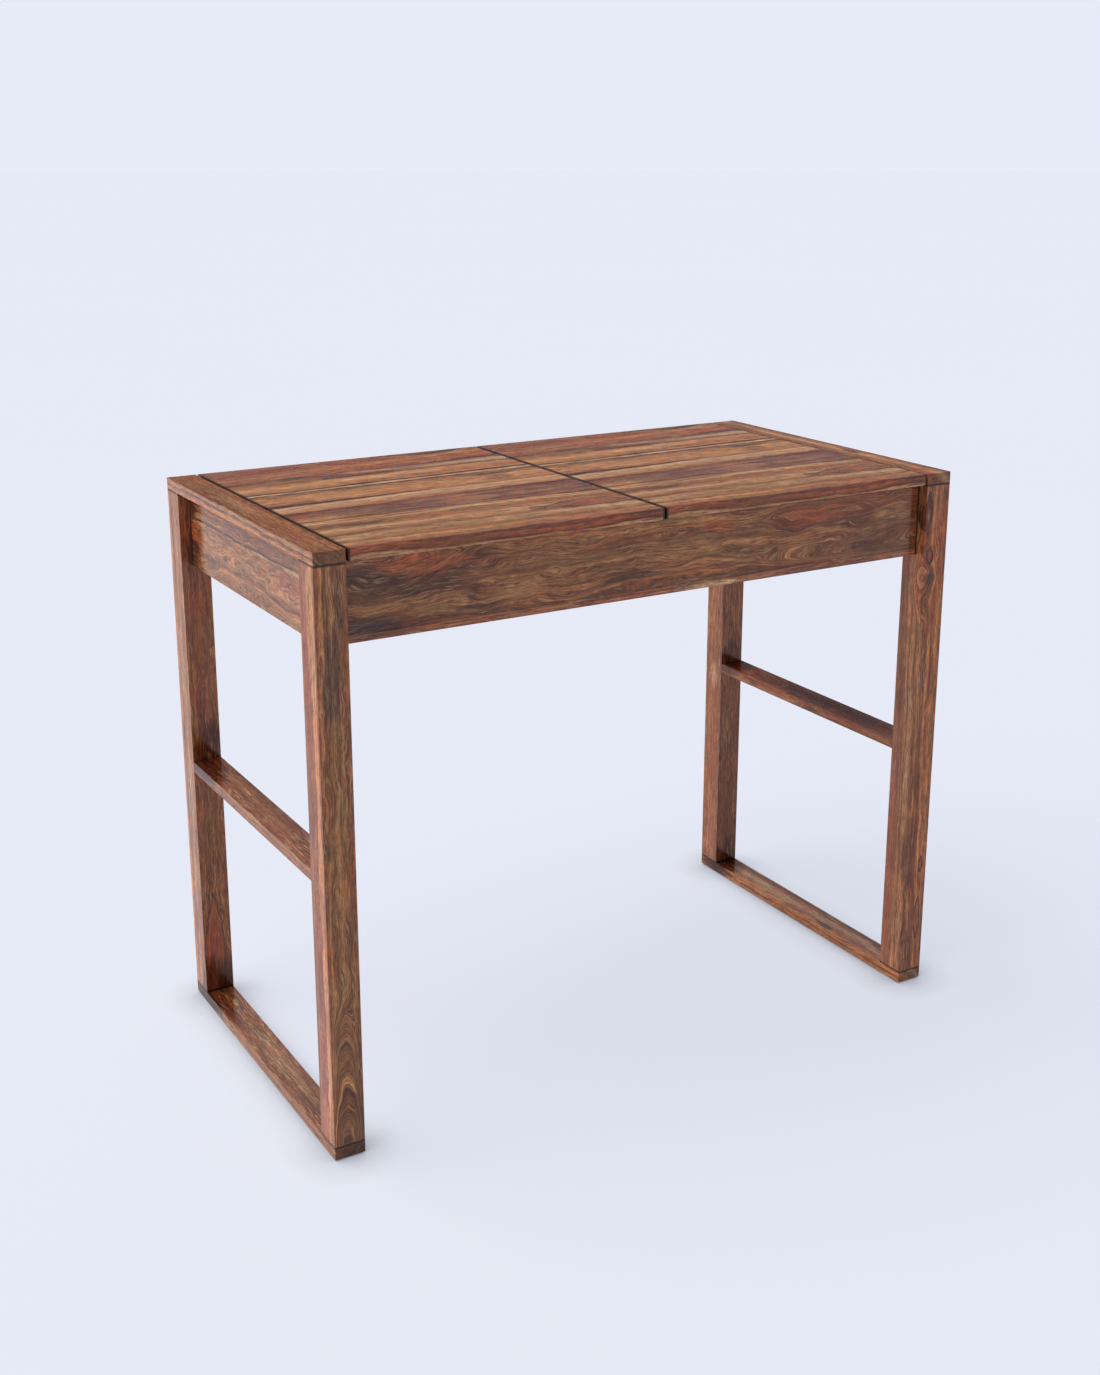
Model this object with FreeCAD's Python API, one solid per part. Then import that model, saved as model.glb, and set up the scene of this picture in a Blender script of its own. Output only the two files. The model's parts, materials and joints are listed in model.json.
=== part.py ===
import FreeCAD, Part
import os

# Study table in solid sheesham: two sled-shaped end frames carry a shallow box,
# and two lids side by side lift on butt hinges at the back of the box.
# Millimetres. X runs along the table, Y from front to back and Z up.
# The origin is on the floor under the middle of the table.

os.makedirs("parts", exist_ok=True)

Vector = FreeCAD.Vector
along_x, along_y, along_z = Vector(1, 0, 0), Vector(0, 1, 0), Vector(0, 0, 1)

# Whole table
table_width = 936.0
table_depth = 500.0
table_height = 762.0
edge_radius = 0.5  # sandpaper round on every board edge, which leaves a fine groove at each joint

# End frames
leg_width = 40.0
leg_depth = 42.0
top_rail_thickness = 15.0
foot_rail_thickness = 15.0
stretcher_thickness = 15.0
stretcher_top_height = 370.0

# Glide pads under the foot rails
glide_thickness = 2.0
glide_width = 34.0
glide_depth = 36.0
glide_corner_radius = 5.0
glide_chamfer = 0.5

# Box between the end frames
box_height = 100.0  # from the underside of the top rails
box_setback = 15.5  # from the outer faces of the legs, on all four sides
apron_thickness = 15.0
side_panel_thickness = 15.0
divider_thickness = 15.0
bottom_thickness = 6.0
bottom_slack = 0.5
cleat_width = 12.0
cleat_height = 12.0
cleat_slack = 0.5

# Lids
lid_thickness = 15.0
lid_gap = 3.0  # between the lids, and between each lid and its top rail
batten_length = 380.0
batten_width = 30.0
batten_thickness = 12.0
batten_spacing = 250.0
bumper_radius = 5.0
bumper_thickness = 1.0  # also the gap between the lids and the aprons
bumper_chamfer = 0.2
bumper_spacing = 300.0

# Butt hinges
hinge_length = 50.0
hinge_spacing = 260.0
leaf_width = 14.0  # from the pin's axis to the leaf's edge
leaf_thickness = 1.2
leaf_gap = 0.3  # between the two leaves of a closed hinge
knuckle_count = 5
knuckle_radius = 2.75
knuckle_gap = 0.3  # between neighbouring knuckles, and from a knuckle to what it turns past
knuckle_standoff = 0.3  # from the knuckles to the back of the box
knuckle_groove_slack = 0.5
hinge_pin_radius = 1.4
hinge_pin_running_slack = 0.05
hinge_pin_head_radius = 2.2
hinge_pin_head_height = 1.0
hinge_pin_head_slack = 0.6
hinge_hole_offset = 9.0  # from the pin's axis to the line of screws
hinge_hole_spacing = 17.0
mortise_slack = 0.2

# Dowels, which fill their holes but for the glue
frame_dowel = dict(radius=4.0, chamfer=0.8)
box_dowel = dict(radius=3.0, chamfer=0.6)
dowel_slack = 0.05
dowel_end_space = 1.0
dowel_cover = 5.0  # wood left over a blind hole
leg_top_dowel_depth = 20.0
leg_top_dowel_spacing = 20.0
stretcher_dowel_depth = 22.0
stretcher_dowel_spacing = 20.0
box_dowel_depth_in_leg = 14.0
box_dowel_depth_in_board = 22.0
apron_dowel_height_shares = (0.2, 0.7)
side_dowel_height_shares = (0.32, 0.58)
divider_dowel_height_shares = (0.25, 0.75)

# Screws and nails: length under the head's face, with a countersunk head
foot_screw = dict(length=60.0, shank_radius=2.4, head_radius=4.5, head_height=2.8, tip=5.0)
batten_screw = dict(length=22.0, shank_radius=1.75, head_radius=3.5, head_height=2.2, tip=3.5)
cleat_screw = dict(length=22.0, shank_radius=1.5, head_radius=3.0, head_height=2.0, tip=3.0)
hinge_screw = dict(length=11.0, shank_radius=1.2, head_radius=2.5, head_height=1.2, tip=2.4)
glide_nail = dict(length=13.0, shank_radius=0.9, head_radius=3.0, head_height=0.8, tip=2.0)
panel_pin = dict(length=14.0, shank_radius=0.7, head_radius=1.4, head_height=0.7, tip=1.5)
screw_slack = 0.05
screw_end_space = 0.5
screw_sink = 0.1  # from a head's face to the surface round it
foot_screw_spacing = 24.0
batten_screw_shares = (0.08, 0.5, 0.92)
long_cleat_screw_shares = (0.08, 0.36, 0.64, 0.92)
side_cleat_screw_shares = (0.25, 0.75)
long_cleat_pin_shares = (0.03, 0.22, 0.44, 0.56, 0.78, 0.97)
side_cleat_pin_shares = (0.1, 0.5, 0.9)
cross_width_share = 0.3  # of the head's radius, as is the cross's reach
cross_reach_share = 0.62
cross_depth_share = 0.7  # of the head's height

cut_overrun = 2.0  # how far a cutting shape runs past the surface that it opens

# Heights and faces that several pieces share
leg_bottom = glide_thickness + foot_rail_thickness
leg_top = table_height - top_rail_thickness
leg_centre_x = table_width / 2 - leg_width / 2
leg_centre_y = table_depth / 2 - leg_depth / 2
leg_inner_x = table_width / 2 - leg_width
leg_inner_y = table_depth / 2 - leg_depth
box_bottom = leg_top - box_height
apron_outer_y = table_depth / 2 - box_setback
apron_inner_y = apron_outer_y - apron_thickness
side_outer_x = table_width / 2 - box_setback
side_inner_x = side_outer_x - side_panel_thickness
lid_underside = table_height - lid_thickness
apron_top = lid_underside - bumper_thickness
bottom_underside = box_bottom + cleat_height
bottom_top = bottom_underside + bottom_thickness
cleat_inner_y = apron_inner_y - cleat_width
side_cleat_reach = min(cleat_inner_y, leg_inner_y) - cleat_slack
lid_inner_x = lid_gap / 2
lid_outer_x = leg_inner_x - lid_gap
lid_centre_x = (lid_inner_x + lid_outer_x) / 2
hinge_axis_y = apron_outer_y + knuckle_standoff + knuckle_radius
hinge_axis_z = (lid_underside + apron_top) / 2

pieces = {}  # node name to its solids
cuts = {}  # node name to the shapes that are taken out of it


def add(name, *solids):
    pieces.setdefault(name, []).extend(solids)


def cut(name, shape):
    cuts.setdefault(name, []).append(shape)


def span(centre, length):
    return centre - length / 2, centre + length / 2


def mirrored(low, high, sign):
    # a range measured outwards from the middle, on the side that sign says
    return (low, high) if sign > 0 else (-high, -low)


def plain_block(x, y, z):
    return Part.makeBox(x[1] - x[0], y[1] - y[0], z[1] - z[0], Vector(x[0], y[0], z[0]))


def eased_block(x, y, z):
    block = plain_block(x, y, z)
    return block.makeFillet(edge_radius, block.Edges).Solids[0]


def turned(outline, start, direction):
    # outline holds (radius, distance) pairs, spun about the line from start in direction
    points = [Vector(radius, 0, distance) for radius, distance in outline]
    face = Part.Face(Part.makePolygon(points + points[:1]))
    solid = face.revolve(Vector(0, 0, 0), along_z, 360)
    solid.Placement = FreeCAD.Placement(start, FreeCAD.Rotation(along_z, direction))
    return solid


def rod(radius, start, direction, length):
    return Part.makeCylinder(radius, length, start, direction)


def along(low, high, share):
    return low + (high - low) * share


def fasten_with_screw(group, kind, start, direction, names):
    # the screw's face lies just under the surface at start, and it bites into every named piece
    face = start + direction * screw_sink
    length, tip = kind["length"], kind["tip"]
    shank, head, depth = kind["shank_radius"], kind["head_radius"], kind["head_height"]
    outline = [(0, 0), (head, 0), (shank, depth), (shank, length - tip), (0, length)]
    screw = turned(outline, face, direction)
    reach = head * cross_reach_share
    half_width = head * cross_width_share / 2
    recess = depth * cross_depth_share
    for turn in (0, 90):
        arm = plain_block((-reach, reach), (-half_width, half_width), (-recess, recess))
        arm.rotate(Vector(0, 0, 0), along_z, turn)
        arm.Placement = FreeCAD.Placement(face, FreeCAD.Rotation(along_z, direction)) * arm.Placement
        screw = screw.cut(arm)
    add(group, screw.Solids[0])
    cut_for_shaft(kind, face, direction, names)


def fasten_with_nail(group, kind, start, direction, names):
    face = start + direction * screw_sink
    length, tip = kind["length"], kind["tip"]
    shank, head, depth = kind["shank_radius"], kind["head_radius"], kind["head_height"]
    outline = [(0, 0), (head, 0), (shank, depth), (shank, length - tip), (0, length)]
    add(group, turned(outline, face, direction))
    cut_for_shaft(kind, face, direction, names)


def cut_for_shaft(kind, face, direction, names):
    shank = kind["shank_radius"] + screw_slack
    head = kind["head_radius"] + screw_slack
    end = kind["length"] + screw_end_space
    outline = [(0, -cut_overrun), (head, -cut_overrun), (head, 0)]
    outline += [(shank, kind["head_height"]), (shank, end), (0, end)]
    for name in names:
        cut(name, turned(outline, face, direction))


def join_with_dowel(group, kind, joint, direction, near, near_depth, far, far_depth):
    # joint is the point where the dowel crosses from the near piece into the far one
    radius, chamfer = kind["radius"], kind["chamfer"]
    length = near_depth + far_depth
    outline = [(0, 0), (radius - chamfer, 0), (radius, chamfer)]
    outline += [(radius, length - chamfer), (radius - chamfer, length), (0, length)]
    start = joint - direction * near_depth
    add(group, turned(outline, start, direction))
    hole_start = start - direction * dowel_end_space
    hole = rod(radius + dowel_slack, hole_start, direction, length + 2 * dowel_end_space)
    cut(near, hole)
    cut(far, hole)


# End frames: legs, top rails, foot rails and stretchers
def make_end_frame(side, sign):
    rail_x = mirrored(leg_inner_x, table_width / 2, sign)
    rail_y = span(0, table_depth)
    add(f"{side}_top_rail", eased_block(rail_x, rail_y, (leg_top, table_height)))
    add(f"{side}_foot_rail", eased_block(rail_x, rail_y, (glide_thickness, leg_bottom)))
    stretcher_z = (stretcher_top_height - stretcher_thickness, stretcher_top_height)
    add(f"{side}_stretcher", eased_block(rail_x, (-leg_inner_y, leg_inner_y), stretcher_z))
    for end, way in (("front", -1), ("back", 1)):
        leg = f"{end}_{side}_leg"
        leg_y = mirrored(leg_inner_y, table_depth / 2, way)
        add(leg, eased_block(rail_x, leg_y, (leg_bottom, leg_top)))
        join_leg(leg, side, sign, way)
        make_glide(f"{end}_{side}_glide", f"{side}_foot_rail", sign, way)


def join_leg(leg, side, sign, way):
    centre_x, centre_y = sign * leg_centre_x, way * leg_centre_y
    for y in span(centre_y, leg_top_dowel_spacing):
        joint = Vector(centre_x, y, leg_top)
        cover_depth = top_rail_thickness - dowel_cover
        join_with_dowel(
            "top_rail_dowels", frame_dowel, joint, along_z,
            leg, leg_top_dowel_depth, f"{side}_top_rail", cover_depth,
        )
    for y in span(centre_y, foot_screw_spacing):
        start = Vector(centre_x, y, glide_thickness)
        names = (f"{side}_foot_rail", leg)
        fasten_with_screw("foot_rail_screws", foot_screw, start, along_z, names)
    for x in span(centre_x, stretcher_dowel_spacing):
        joint = Vector(x, way * leg_inner_y, stretcher_top_height - stretcher_thickness / 2)
        join_with_dowel(
            "stretcher_dowels", frame_dowel, joint, along_y * way,
            f"{side}_stretcher", stretcher_dowel_depth, leg, stretcher_dowel_depth,
        )


def make_glide(name, rail, sign, way):
    centre_x, centre_y = sign * leg_centre_x, way * leg_centre_y
    pad = plain_block(span(centre_x, glide_width), span(centre_y, glide_depth), (0, glide_thickness))
    upright = [e for e in pad.Edges if e.Vertexes[0].Z != e.Vertexes[1].Z]
    pad = pad.makeFillet(glide_corner_radius, upright)
    floor_edges = [e for e in pad.Edges if all(abs(v.Z) < glide_chamfer for v in e.Vertexes)]
    pad = pad.makeChamfer(glide_chamfer, floor_edges)
    add(name, pad.Solids[0])
    start = Vector(centre_x, centre_y, 0)
    fasten_with_nail("glide_nails", glide_nail, start, along_z, (name, rail))


# Box: aprons, side panels, cleats, bottom and divider
def make_aprons():
    for end, way in (("front", -1), ("back", 1)):
        apron = f"{end}_apron"
        apron_y = mirrored(apron_inner_y, apron_outer_y, way)
        add(apron, eased_block((-leg_inner_x, leg_inner_x), apron_y, (box_bottom, apron_top)))
        centre_y = way * (apron_inner_y + apron_outer_y) / 2
        for side, sign in (("left", -1), ("right", 1)):
            for share in apron_dowel_height_shares:
                joint = Vector(sign * leg_inner_x, centre_y, box_bottom + box_height * share)
                join_with_dowel(
                    "apron_dowels", box_dowel, joint, along_x * sign,
                    apron, box_dowel_depth_in_board, f"{end}_{side}_leg", box_dowel_depth_in_leg,
                )
        make_long_cleat(end, way)


def make_side_panels():
    for side, sign in (("left", -1), ("right", 1)):
        panel = f"{side}_side_panel"
        panel_x = mirrored(side_inner_x, side_outer_x, sign)
        add(panel, eased_block(panel_x, (-leg_inner_y, leg_inner_y), (box_bottom, leg_top)))
        centre_x = sign * (side_inner_x + side_outer_x) / 2
        for end, way in (("front", -1), ("back", 1)):
            for share in side_dowel_height_shares:
                joint = Vector(centre_x, way * leg_inner_y, box_bottom + box_height * share)
                join_with_dowel(
                    "side_panel_dowels", box_dowel, joint, along_y * way,
                    panel, box_dowel_depth_in_board, f"{end}_{side}_leg", box_dowel_depth_in_leg,
                )
        make_side_cleat(side, sign)


def make_long_cleat(end, way):
    cleat, apron = f"{end}_cleat", f"{end}_apron"
    low, high = -leg_inner_x + cleat_slack, leg_inner_x - cleat_slack
    cleat_y = mirrored(cleat_inner_y, apron_inner_y, way)
    add(cleat, eased_block((low, high), cleat_y, (box_bottom, bottom_underside)))
    for share in long_cleat_screw_shares:
        start = Vector(along(low, high, share), way * cleat_inner_y, box_bottom + cleat_height / 2)
        fasten_with_screw("cleat_screws", cleat_screw, start, along_y * way, (cleat, apron))
    for share in long_cleat_pin_shares:
        start = Vector(along(low, high, share), way * (cleat_inner_y + cleat_width / 2), bottom_top)
        fasten_with_nail("panel_pins", panel_pin, start, -along_z, ("bottom_panel", cleat))


def make_side_cleat(side, sign):
    cleat, panel = f"{side}_cleat", f"{side}_side_panel"
    inner_x = side_inner_x - cleat_width
    cleat_x = mirrored(inner_x, side_inner_x, sign)
    low, high = -side_cleat_reach, side_cleat_reach
    add(cleat, eased_block(cleat_x, (low, high), (box_bottom, bottom_underside)))
    for share in side_cleat_screw_shares:
        start = Vector(sign * inner_x, along(low, high, share), box_bottom + cleat_height / 2)
        fasten_with_screw("cleat_screws", cleat_screw, start, along_x * sign, (cleat, panel))
    for share in side_cleat_pin_shares:
        start = Vector(sign * (inner_x + cleat_width / 2), along(low, high, share), bottom_top)
        fasten_with_nail("panel_pins", panel_pin, start, -along_z, ("bottom_panel", cleat))


def make_bottom_and_divider():
    half_x, half_y = side_inner_x - bottom_slack, apron_inner_y - bottom_slack
    bottom_z = (bottom_underside, bottom_top)
    add("bottom_panel", eased_block((-half_x, half_x), (-half_y, half_y), bottom_z))
    notch_z = (bottom_underside - cut_overrun, bottom_top + cut_overrun)
    for sign in (-1, 1):
        for way in (-1, 1):
            notch_x = mirrored(leg_inner_x - bottom_slack, side_inner_x + cut_overrun, sign)
            notch_y = mirrored(leg_inner_y - bottom_slack, apron_inner_y + cut_overrun, way)
            cut("bottom_panel", plain_block(notch_x, notch_y, notch_z))
    divider_y = (-apron_inner_y, apron_inner_y)
    divider_z = (bottom_top, apron_top)
    add("centre_divider", eased_block(span(0, divider_thickness), divider_y, divider_z))
    for end, way in (("front", -1), ("back", 1)):
        for share in divider_dowel_height_shares:
            joint = Vector(0, way * apron_inner_y, along(bottom_top, apron_top, share))
            join_with_dowel(
                "divider_dowels", box_dowel, joint, along_y * way,
                "centre_divider", box_dowel_depth_in_board, f"{end}_apron", apron_thickness - dowel_cover,
            )


# Lids with their battens, and the felt dots that they close on
def make_lid(side, sign):
    lid = f"{side}_lid"
    lid_x = mirrored(lid_inner_x, lid_outer_x, sign)
    add(lid, eased_block(lid_x, span(0, table_depth), (lid_underside, table_height)))
    centre_x = sign * lid_centre_x
    batten_bottom = lid_underside - batten_thickness
    for place, shift in (("inner", -sign), ("outer", sign)):
        batten = f"{side}_lid_{place}_batten"
        x = centre_x + shift * batten_spacing / 2
        low, high = span(0, batten_length)
        add(batten, eased_block(span(x, batten_width), (low, high), (batten_bottom, lid_underside)))
        for share in batten_screw_shares:
            start = Vector(x, along(low, high, share), batten_bottom)
            fasten_with_screw(f"{side}_batten_screws", batten_screw, start, along_z, (batten, lid))
        hinge_x = centre_x + shift * hinge_spacing / 2
        make_hinge(f"{side}_{place}_hinge", side, hinge_x)
    for x in span(centre_x, bumper_spacing):
        start = Vector(x, -(apron_inner_y + apron_outer_y) / 2, apron_top)
        rim = bumper_radius - bumper_chamfer
        shoulder = bumper_thickness - bumper_chamfer
        outline = [(0, 0), (bumper_radius, 0), (bumper_radius, shoulder)]
        outline += [(rim, bumper_thickness), (0, bumper_thickness)]
        add("lid_bumpers", turned(outline, start, along_z))


# One butt hinge: a leaf let into the apron's top edge, a leaf let into the lid, and the pin
def make_hinge(name, side, centre_x):
    axis = Vector(centre_x, hinge_axis_y, hinge_axis_z)
    low_x, high_x = span(centre_x, hinge_length)
    pitch = (hinge_length + knuckle_gap) / knuckle_count
    knuckle_length = pitch - knuckle_gap
    starts = [low_x + pitch * number for number in range(knuckle_count)]
    fixed_z = (hinge_axis_z - leaf_gap / 2 - leaf_thickness, hinge_axis_z - leaf_gap / 2)
    moving_z = (hinge_axis_z + leaf_gap / 2, hinge_axis_z + leaf_gap / 2 + leaf_thickness)
    leaf_y = (hinge_axis_y - leaf_width, hinge_axis_y)
    leaves = (
        (f"{name}_fixed_leaf", fixed_z, starts[0::2], starts[1::2], 0),
        (f"{name}_moving_leaf", moving_z, starts[1::2], starts[0::2], hinge_pin_running_slack),
    )
    for leaf_name, leaf_z, own_starts, other_starts, bore_slack in leaves:
        leaf = plain_block((low_x, high_x), leaf_y, leaf_z)
        for start in other_starts:
            place = Vector(start - knuckle_gap, hinge_axis_y, hinge_axis_z)
            room = rod(knuckle_radius + knuckle_gap, place, along_x, knuckle_length + 2 * knuckle_gap)
            leaf = leaf.cut(room)
        for start in own_starts:
            place = Vector(start, hinge_axis_y, hinge_axis_z)
            leaf = leaf.fuse(rod(knuckle_radius, place, along_x, knuckle_length))
        bore_start = Vector(low_x - cut_overrun, hinge_axis_y, hinge_axis_z)
        bore = rod(hinge_pin_radius + bore_slack, bore_start, along_x, hinge_length + 2 * cut_overrun)
        add(leaf_name, leaf.cut(bore).removeSplitter().Solids[0])
    make_hinge_pin(f"{name}_pin", low_x)
    cut_mortises(f"{side}_lid", axis, leaf_y, fixed_z, moving_z)
    for number in (-1, 0, 1):
        x = centre_x + number * hinge_hole_spacing
        y = hinge_axis_y - hinge_hole_offset
        below, above = Vector(x, y, fixed_z[1]), Vector(x, y, moving_z[0])
        names = (f"{name}_fixed_leaf", "back_apron")
        fasten_with_screw("hinge_frame_screws", hinge_screw, below, -along_z, names)
        names = (f"{name}_moving_leaf", f"{side}_lid")
        fasten_with_screw(f"{side}_lid_hinge_screws", hinge_screw, above, along_z, names)


def make_hinge_pin(name, low_x):
    radius, head, height = hinge_pin_radius, hinge_pin_head_radius, hinge_pin_head_height
    outline = [(0, -height), (head, -height), (head, 0), (radius, 0), (radius, hinge_length)]
    outline += [(head, hinge_length), (head, hinge_length + height), (0, hinge_length + height)]
    add(name, turned(outline, Vector(low_x, hinge_axis_y, hinge_axis_z), along_x))


def cut_mortises(lid, axis, leaf_y, fixed_z, moving_z):
    mortise_x = span(axis.x, hinge_length + 2 * mortise_slack)
    front_y = leaf_y[0] - mortise_slack
    cut("back_apron", plain_block(mortise_x, (front_y, apron_outer_y + cut_overrun), (fixed_z[0], lid_underside)))
    cut(lid, plain_block(mortise_x, (front_y, hinge_axis_y), (apron_top, moving_z[1])))
    reach = hinge_length / 2 + hinge_pin_head_height + hinge_pin_head_slack
    groove_start = Vector(axis.x - reach, axis.y, axis.z)
    cut(lid, rod(knuckle_radius + knuckle_groove_slack, groove_start, along_x, 2 * reach))


def write_pieces():
    for name, solids in pieces.items():
        if name in cuts:
            solids = [solid.cut(cuts[name]) for solid in solids]
        whole = [part for solid in solids for part in solid.Solids]
        if len(whole) != len(solids) or not all(part.isValid() for part in whole):
            raise RuntimeError(f"{name} came apart or isn't valid")
        shape = whole[0] if len(whole) == 1 else Part.makeCompound(whole)
        shape.exportStep(f"parts/{name}.step")
        print(f"{name}: {len(whole)} solid(s), {sum(part.Volume for part in whole):.1f} mm3")


make_end_frame("left", -1)
make_end_frame("right", 1)
make_aprons()
make_side_panels()
make_bottom_and_divider()
make_lid("left", -1)
make_lid("right", 1)
write_pieces()
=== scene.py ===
import json
import math
from functools import partial

import bmesh
import bpy
from mathutils import Matrix, Vector

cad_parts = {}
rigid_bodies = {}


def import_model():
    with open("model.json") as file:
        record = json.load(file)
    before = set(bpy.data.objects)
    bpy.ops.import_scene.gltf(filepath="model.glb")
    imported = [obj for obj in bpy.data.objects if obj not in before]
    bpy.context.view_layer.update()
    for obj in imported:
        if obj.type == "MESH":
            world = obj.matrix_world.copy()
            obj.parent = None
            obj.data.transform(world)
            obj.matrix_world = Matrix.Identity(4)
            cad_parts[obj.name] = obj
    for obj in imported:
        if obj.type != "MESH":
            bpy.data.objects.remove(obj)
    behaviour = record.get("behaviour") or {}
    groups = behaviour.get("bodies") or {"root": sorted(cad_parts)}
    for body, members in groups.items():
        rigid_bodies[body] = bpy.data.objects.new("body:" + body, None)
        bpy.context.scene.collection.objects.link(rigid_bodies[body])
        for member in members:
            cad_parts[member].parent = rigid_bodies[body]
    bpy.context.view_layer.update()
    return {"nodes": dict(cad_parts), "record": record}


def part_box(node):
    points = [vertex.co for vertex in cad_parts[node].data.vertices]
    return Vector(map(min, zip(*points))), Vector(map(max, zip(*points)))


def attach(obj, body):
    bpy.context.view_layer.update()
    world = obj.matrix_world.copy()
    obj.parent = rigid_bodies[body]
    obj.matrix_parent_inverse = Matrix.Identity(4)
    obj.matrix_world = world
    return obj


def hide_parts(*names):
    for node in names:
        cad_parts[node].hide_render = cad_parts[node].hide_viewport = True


for leftover in list(bpy.data.objects):
    bpy.data.objects.remove(leftover)
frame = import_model()
nodes = frame["nodes"]
print("frame loaded:", len(nodes), "nodes")

mm = 0.001


def colour(hexText):
    # sRGB hex to the linear colour that Blender's sockets hold
    channels = [int(hexText[i:i + 2], 16) / 255 for i in (1, 3, 5)]
    linear = [c / 12.92 if c <= 0.04045 else ((c + 0.055) / 1.055) ** 2.4 for c in channels]
    return (*linear, 1.0)


def setInputs(node, inputs):
    # an input takes a plain value, another node's output, or a node for the first output that it has in use
    for key, value in inputs.items():
        if isinstance(value, bpy.types.Node):
            value = next(socket for socket in value.outputs if socket.enabled)
        if isinstance(value, bpy.types.NodeSocket):
            node.id_data.links.new(value, node.inputs[key])
        else:
            node.inputs[key].default_value = value


modes = {"Mix": "data_type", "MapRange": "interpolation_type", "GeometryNodeSwitch": "input_type"}


def addNode(tree, kind, *values, **settings):
    # One node with its settings and links. A shader node's kind goes without "ShaderNode", and a second
    # word is its operation or mode. Values fill the inputs in use from the top, or a dictionary by name.
    kind, _, mode = kind.partition(" ")
    node = tree.nodes.new(kind if "Node" in kind else "ShaderNode" + kind)
    if mode:
        settings[modes.get(kind, "operation")] = mode
    for name, value in settings.items():
        setattr(node, name, value)
    shown = [number for number, socket in enumerate(node.inputs) if socket.enabled]
    for number, value in enumerate(values):
        setInputs(node, value if isinstance(value, dict) else {shown[number]: value})
    return node


def newMaterial(name):
    # a material, what adds a node to it, its texture coordinates and its shader
    material = bpy.data.materials.new(name)
    material.use_nodes = True
    material.node_tree.nodes.clear()
    add = partial(addNode, material.node_tree)
    shader = add("BsdfPrincipled")
    add("OutputMaterial", shader)
    return material, add, add("TexCoord").outputs, shader


def newGroup(name, inputs, outputs, kind="ShaderNodeTree"):
    # a group, what adds a node to it, and its inputs; a socket is a type, or the number that it starts from
    group = bpy.data.node_groups.new(name, kind)
    for inOut, sockets in (("INPUT", inputs), ("OUTPUT", outputs)):
        for socketName, start in sockets.items():
            socketType = "NodeSocket" + (start if isinstance(start, str) else "Float")
            socket = group.interface.new_socket(name=socketName, in_out=inOut, socket_type=socketType)
            if not isinstance(start, str):
                socket.default_value = start
    return group, partial(addNode, group), group.nodes.new("NodeGroupInput").outputs


def addObject(name, data):
    piece = bpy.data.objects.new(name, data)
    bpy.context.scene.collection.objects.link(piece)
    return piece


def setMaterial(piece, material):
    piece.data.materials.clear()
    piece.data.materials.append(material)


def readRows(text, usual=()):
    # "30 gold, 42 rust" as lists of numbers and words; columns left out at a row's end take the usual values
    table = []
    for row in filter(None, text.split(",")):
        words = [word if word.isalpha() else float(word) for word in row.split()]
        table.append([*words, *usual[len(words):]])
    return table


# sheesham's tones, from its palest sapwood streaks to the black-brown veins
tones = {
    "tan": "#cda077", "gold": "#c08452", "amber": "#d9854a", "olive": "#936339", "brown": "#a15e36",
    "umber": "#7f4a2d", "rust": "#b0552c", "redBrown": "#8c4028", "rose": "#ac6646", "mauve": "#8e5340",
    # heart is painted shade, not a wood tone: the corner darkness next to the legs
    "plum": "#5e2f26", "slate": "#463029", "heart": "#441509", "vein": "#351910",
}
lacquer = {
    "ior": 1.5,
    "fibreShine": 0.12,  # metallic share: fibres under the lacquer throw light back in the wood's own colour
    "relief": 0.15, "reliefDepth": 0.2 * mm,
    "brightness": 1.35,  # on all tones, because the fine streaks darken them
}
paintedJointShade = {"from": 3.2, "full": 2.0, "amount": 0.9}  # mm before a board's end: the wood there is darkened as painted shade, the shadow line at the joint
axisVectors = {"x": Vector((1, 0, 0)), "y": Vector((0, 1, 0)), "z": Vector((0, 0, 1))}


def signedAxis(text):
    return axisVectors[text[1]] * (1 if text[0] == "+" else -1)


def makeGrainField():
    # where a point lies among the growth layers, in mm across the board: veins and bands follow it
    group, add, given = newGroup(
        "grainField",
        {"Position": "Vector", "Cut": 0.0, "Wander": 24.0, "Swirl": 8.0, "Slope": 0.0, "Fade": 1e6,
         "Middle": 0.0, "Lean": 1.0},
        {"Place": "Vector", "Across": "Float"})
    offset = add("VectorMath SCALE", (173.0, 57.0, 31.0), given["Cut"])
    shifted = add("VectorMath ADD", given["Position"], offset)
    x, y, z = add("SeparateXYZ", given["Position"]).outputs
    moved = y
    # drift, swirl and ripple: length and width in mm, and the input that says how far, with its share
    for length, width, amount, share in (
            (260, 62, "Wander", 1.0), (70, 20, "Swirl", 1.0), (22, 8, "Swirl", 0.22)):
        scaled = add("VectorMath MULTIPLY", shifted, (1 / length, 1 / width, 1 / width))
        noise = add("TexNoise", scaled, 1.0, 1.0, 0.5)
        centred = add("Math SUBTRACT", noise, 0.5)
        strength = add("Math MULTIPLY", given[amount], share)
        moved = add("Math MULTIPLY_ADD", centred, strength, moved)
    place = add("CombineXYZ", x, moved, z)
    # the layers lean into the board, and slope along it, less and less across it
    leaning = add("Math MULTIPLY_ADD", z, given["Lean"], moved)
    away = add("Math SUBTRACT", x, given["Middle"])
    rise = add("Math MULTIPLY", away, given["Slope"])
    kept = add("Math SUBTRACT", 1.0, add("Math DIVIDE", y, given["Fade"]))
    across = add("Math MULTIPLY_ADD", rise, kept, leaning)
    add("NodeGroupOutput", {"Place": place, "Across": across})
    return group


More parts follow.
